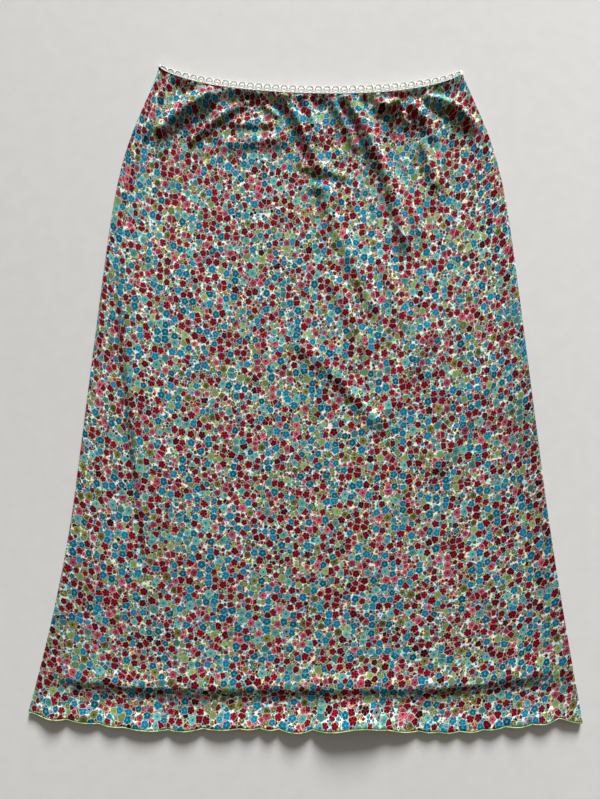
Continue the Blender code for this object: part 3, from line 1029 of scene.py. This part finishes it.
def floor_material():
    """A plain pale matte surface with a barely seen grain. Painted shade darkens it a little to the
    left and beyond the waist, and painted light brightens it a little near the hem and to the
    right."""
    material, nodes, shader = new_material("pale_floor")
    spot = nodes.add("ShaderNodeTexCoord").outputs["Object"]
    across, along, _ = nodes.parts(spot)
    grain = nodes.noise(spot, FLOOR_GRAIN_SCALE, detail=3.0)[0]
    colour = nodes.mix(nodes.smooth(grain, *NOISE_RANGE), FLOOR_DEEP, FLOOR_PALE)
    # painted shade to the left and beyond the waist, and painted light near the hem and to the
    # right
    left = nodes.smooth(across, *SHADE_PAINTED_LEFT)
    painted_shade = nodes.times(left, nodes.smooth(along, *SHADE_PAINTED_BEYOND))
    near = nodes.smooth(along, *LIGHT_PAINTED_NEAR)
    painted_light = nodes.math("ADD", near, nodes.smooth(across, *LIGHT_PAINTED_RIGHT))
    colour = nodes.mix(1.0, colour, nodes.minus(painted_light, painted_shade), blend="MULTIPLY")
    nodes.give(shader, {"Base Color": colour, "Roughness": 0.9, "Specular IOR Level": 0.1})
    return material


# ---------------- pieces


def front_cloth(material):
    """The front: gathered under the elastic, creased, its side edges rolled down to the seam. The
    print is laid out on the uncreased form, so that it follows the cloth over each crease."""
    shares = row_shares(FRONT_ROWS)
    across, down, inset, rise, top, hem = cloth_grid(FRONT_COLUMNS, shares)
    height = front_height(across, down, inset, top, hem)
    seam = SEAM_HEIGHT + SEAM_GAP / 2
    height = seam + (height - seam) * rise
    calm = place(across, down, seam + ROLL_DEPTH * rise)
    swell = WAVE_SWELL * hem_wave(across) * np.exp(-(hem - down) / WAVE_FADE)
    points = place(across, down + swell, height)
    uv = print_map(calm, shares)
    dim = side_dim(across, down, inset)
    return cloth_piece("front_cloth", points, material, uv, dim), points[-1]


def back_cloth(material):
    """The back: on the surface, with low creases, its sides turned up to meet the front."""
    shares = row_shares(BACK_ROWS)
    across, down, inset, rise, top, hem = cloth_grid(BACK_COLUMNS, shares)
    height = back_height(across, down, inset, top, hem)
    seam = SEAM_HEIGHT - SEAM_GAP / 2
    height = seam + (height - seam) * rise
    points = place(across, down, height)
    uv = print_map(points, shares) + BACK_PRINT_SHIFT
    return cloth_piece("back_cloth", points[:, ::-1], material, uv[:, ::-1]), points[-1]


def along_waist(fraction, level, side, deep):
    """Points of the trim, at a level below its top edge, as if at its middle, where it is tallest.

    The side goes from 1 on the upper strand to -1 on the lower one, in a half circle round each
    end of the waist. The depth is measured inwards from the trim's outer face."""
    drop = 1.0 - STRAND_DROP * fraction**8
    turn = (STRANDS[0] - STRANDS[1]) / 2 * drop - deep
    height = (STRANDS[0] - STRANDS[1]) / 2 * drop + STRANDS[1] + turn * side
    beyond = np.sign(fraction) * turn * np.sqrt(np.clip(1.0 - side**2, 0.0, 1.0))
    down = waist_line(fraction) + level * picot_reach(fraction) / PICOT_REACH
    across = centre_line(down) + fraction * (half_width(down) - ROLL_DEPTH) + beyond
    return place(across, down, height)


def spaced(pitch):
    """Middles of evenly spaced things along the waist, from -1 to 1, about a pitch apart."""
    count = round(2 * half_width(TRIM_LEVEL) / pitch)
    return (np.arange(count) + 0.5) / count * 2 - 1


def waist_tape(low, high, cut, deep):
    """A flat tape round the waist in a loop, as points and faces. Its section is a thin rectangle
    with rounded edges, and half an ellipse, as tall as the cut, is missing under each loop."""
    strand = np.linspace(-1.0, 1.0, STRAND_COLUMNS)
    bend = np.sin(np.radians(np.linspace(*END_ANGLES)))
    end = np.ones(len(bend))
    upper = np.ones(len(strand))
    fraction = np.concatenate([strand, end, strand[::-1], -end])
    side = np.concatenate([upper, bend, -upper, -bend])
    loops = len(spaced(LOOP_PITCH))
    turn = (fraction + 1.0) / 2 * loops - 0.5
    from_loop = (turn - np.round(turn)) * 2 * half_width(TRIM_LEVEL) / loops
    arch = np.sqrt(np.clip(1.0 - (from_loop / ARCH_HALF) ** 2, 0.0, 1.0))
    level = low + (high - cut * arch - low) * np.array(TAPE_DOWN)[:, None]
    thick = np.array(TAPE_IN)[:, None] * TRIM_THICK
    points = along_waist(fraction, level, side, deep + thick)
    index = numbered(points)
    below = np.roll(index, -1, axis=0)
    faces = quads(below, np.roll(below, -1, axis=1), np.roll(index, -1, axis=1), index)
    return points.reshape(-1, 3), faces


def waist_threads(pitch, along, level, deep, radius):
    """Threads on the trim, a pitch apart, the same on the upper and the lower strand, as points and
    faces. Each point of a thread has a place along the waist, in millimetres, and a radius."""
    fraction = spaced(pitch)[:, None] + along / half_width(TRIM_LEVEL)
    held = np.clip(fraction, -WAIST_END, WAIST_END)
    threads = []
    for side in (1.0, -1.0):
        paths = along_waist(held, level, side, deep)
        all_round = np.ones((*paths.shape[:2], THREAD_SIDES)) * radius[:, None]
        threads.append(tubes(paths, all_round * MM, False))
    return threads


def joined_piece(name, parts, material):
    """One object from the points and faces of all its parts, numbered on in turn."""
    faces = []
    count = 0
    for points, part_faces in parts:
        faces += [[corner + count for corner in face] for face in part_faces]
        count += len(points)
    all_points = np.concatenate([points for points, _ in parts])
    return mesh_object(name, all_points, faces, material)


def waist_trim(material):
    """The picot elastic: loops, the arched web behind them, and the tape below. Each loop is most
    of an ellipse."""
    turn = np.radians(np.linspace(*LOOP_ANGLES))
    level = LOOP_THREAD + LOOP_TALL * (1.0 - np.sin(turn)) * LOOP_SHARE
    radius = np.full(len(turn), LOOP_THREAD)
    loops = waist_threads(LOOP_PITCH, LOOP_HALF * np.cos(turn), level, 0.0, radius)
    web = waist_tape(*WEB, ARCH_TALL, WEB_DEEP)
    tape = waist_tape(*TAPE, 0.0, TAPE_DEEP)
    return joined_piece("picot_elastic", [web, tape, *loops], material)


def edge_stitches(material):
    """Short stitches along the tape, on both strands, thinner at their ends."""
    along = np.linspace(-0.5, 0.5, STITCH_POINTS) * STITCH_LONG
    radius = np.full(STITCH_POINTS, STITCH_THREAD)
    radius[[0, -1]] *= STITCH_TAPER
    stitches = waist_threads(STITCH_PITCH, along, sum(TAPE) / 2, TAPE_DEEP, radius)
    return joined_piece("waist_stitches", stitches, material)


def hem_thread(front_edge, back_edge, material):
    """The rolled edge: thread wound round the cloth's lower edge, in one loop round the hem.

    Its radius swells and sinks with cos(2 pi length / pitch + angle), which reads as turns."""
    path = np.concatenate([front_edge[:-1], back_edge[::-1][:-1]])
    path[:, 1] -= BEAD_DROP * BEAD_RADIUS * MM
    path[:, 2] = np.maximum(path[:, 2], BEAD_RADIUS * (1 + BEAD_RIDGE) * MM)
    closed = np.concatenate([path, path[:1]])
    length = np.concatenate([[0.0], np.cumsum(np.linalg.norm(np.diff(closed, axis=0), axis=1))])
    turns = round(length[-1] / (BEAD_PITCH * MM))
    count = round(length[-1] / (BEAD_STEP * MM))
    at = np.linspace(0.0, length[-1], count, endpoint=False)
    fine = np.stack([np.interp(at, length, closed[:, axis]) for axis in range(3)], axis=-1)
    angle = np.linspace(0.0, 2 * np.pi, BEAD_SIDES, endpoint=False)
    wound = np.cos(2 * np.pi * turns * at[:, None] / length[-1] + angle)
    radius = BEAD_RADIUS * MM * (1.0 + BEAD_RIDGE * wound)
    points, faces = tubes(fine[None], radius[None], True)
    return mesh_object("hem_bead", points, faces, material)


# ---------------- stage


def build_stage():
    """The pale surface under the skirt, a hair's breadth below it."""
    reach = FLOOR_SIZE / 2
    corners = [(-reach, -reach), (reach, -reach), (reach, reach), (-reach, reach)]
    points = np.array([(x, y, FLOOR_LEVEL) for x, y in corners])
    floor = mesh_object("floor", points, [[0, 1, 2, 3]], floor_material())


def build_key_light():
    """A low soft light from beyond the waist, a little to the right, aimed at the skirt."""
    lamp = bpy.data.lights.new("key", "AREA")
    lamp.energy = KEY_POWER
    lamp.color = KEY_COLOUR
    lamp.shape = "DISK"
    lamp.size = KEY_SIZE
    light = bpy.data.objects.new("key", lamp)
    bpy.context.scene.collection.objects.link(light)
    up = math.radians(KEY_ELEVATION)
    turn = math.radians(KEY_AZIMUTH)
    flat = KEY_DISTANCE * math.cos(up)
    light.location = (flat * math.sin(turn), flat * math.cos(turn), KEY_DISTANCE * math.sin(up))
    light.rotation_euler = (math.pi / 2 - up, 0.0, math.pi - turn)


def build_even_light():
    """Warm light from all round: its strength is a constant times 1 + lean times the direction's
    part towards the waist."""
    world = bpy.data.worlds.new("even_light")
    world.use_nodes = True
    background = world.node_tree.nodes["Background"]
    nodes = Nodes(world.node_tree)
    direction = nodes.add("ShaderNodeTexCoord").outputs["Generated"]
    beyond = nodes.parts(direction)[1]
    strength = nodes.math("MULTIPLY_ADD", beyond, AMBIENT * AMBIENT_LEAN, AMBIENT)
    nodes.give(background, {"Color": AMBIENT_COLOUR, "Strength": strength})
    bpy.context.scene.world = world
    bpy.context.scene.view_settings.view_transform = "Standard"


def build_camera():
    """Straight above the skirt, near enough to take it all in."""
    camera = bpy.data.cameras.new("camera")
    camera.sensor_fit = "VERTICAL"
    camera.angle = 2 * math.atan(CAMERA_SPAN / 2 / CAMERA_HEIGHT)
    view = bpy.data.objects.new("camera", camera)
    view.location = (*CAMERA_AT, CAMERA_HEIGHT)
    bpy.context.scene.collection.objects.link(view)
    bpy.context.scene.camera = view


def main():
    build_camera()
    build_key_light()
    build_even_light()
    build_stage()
    knit = knit_group()
    printed = printed_mesh_material(print_group(motif_group()), knit)
    picot = picot_material(knit)
    lime = thread_material(knit)
    front, front_edge = front_cloth(printed)
    back, back_edge = back_cloth(printed)
    trim = waist_trim(picot)
    stitches = edge_stitches(picot)
    bead = hem_thread(front_edge, back_edge, lime)
    slots = {
        front: "printed_mesh",
        back: "printed_mesh",
        trim: "picot_elastic",
        stitches: "picot_elastic",
        bead: "hem_thread",
    }
    for piece, slot in slots.items():
        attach(piece, "root")
    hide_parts("front_panel")
    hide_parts("back_panel")
    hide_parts("waist_elastic")
    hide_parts("hem_edge")


main()
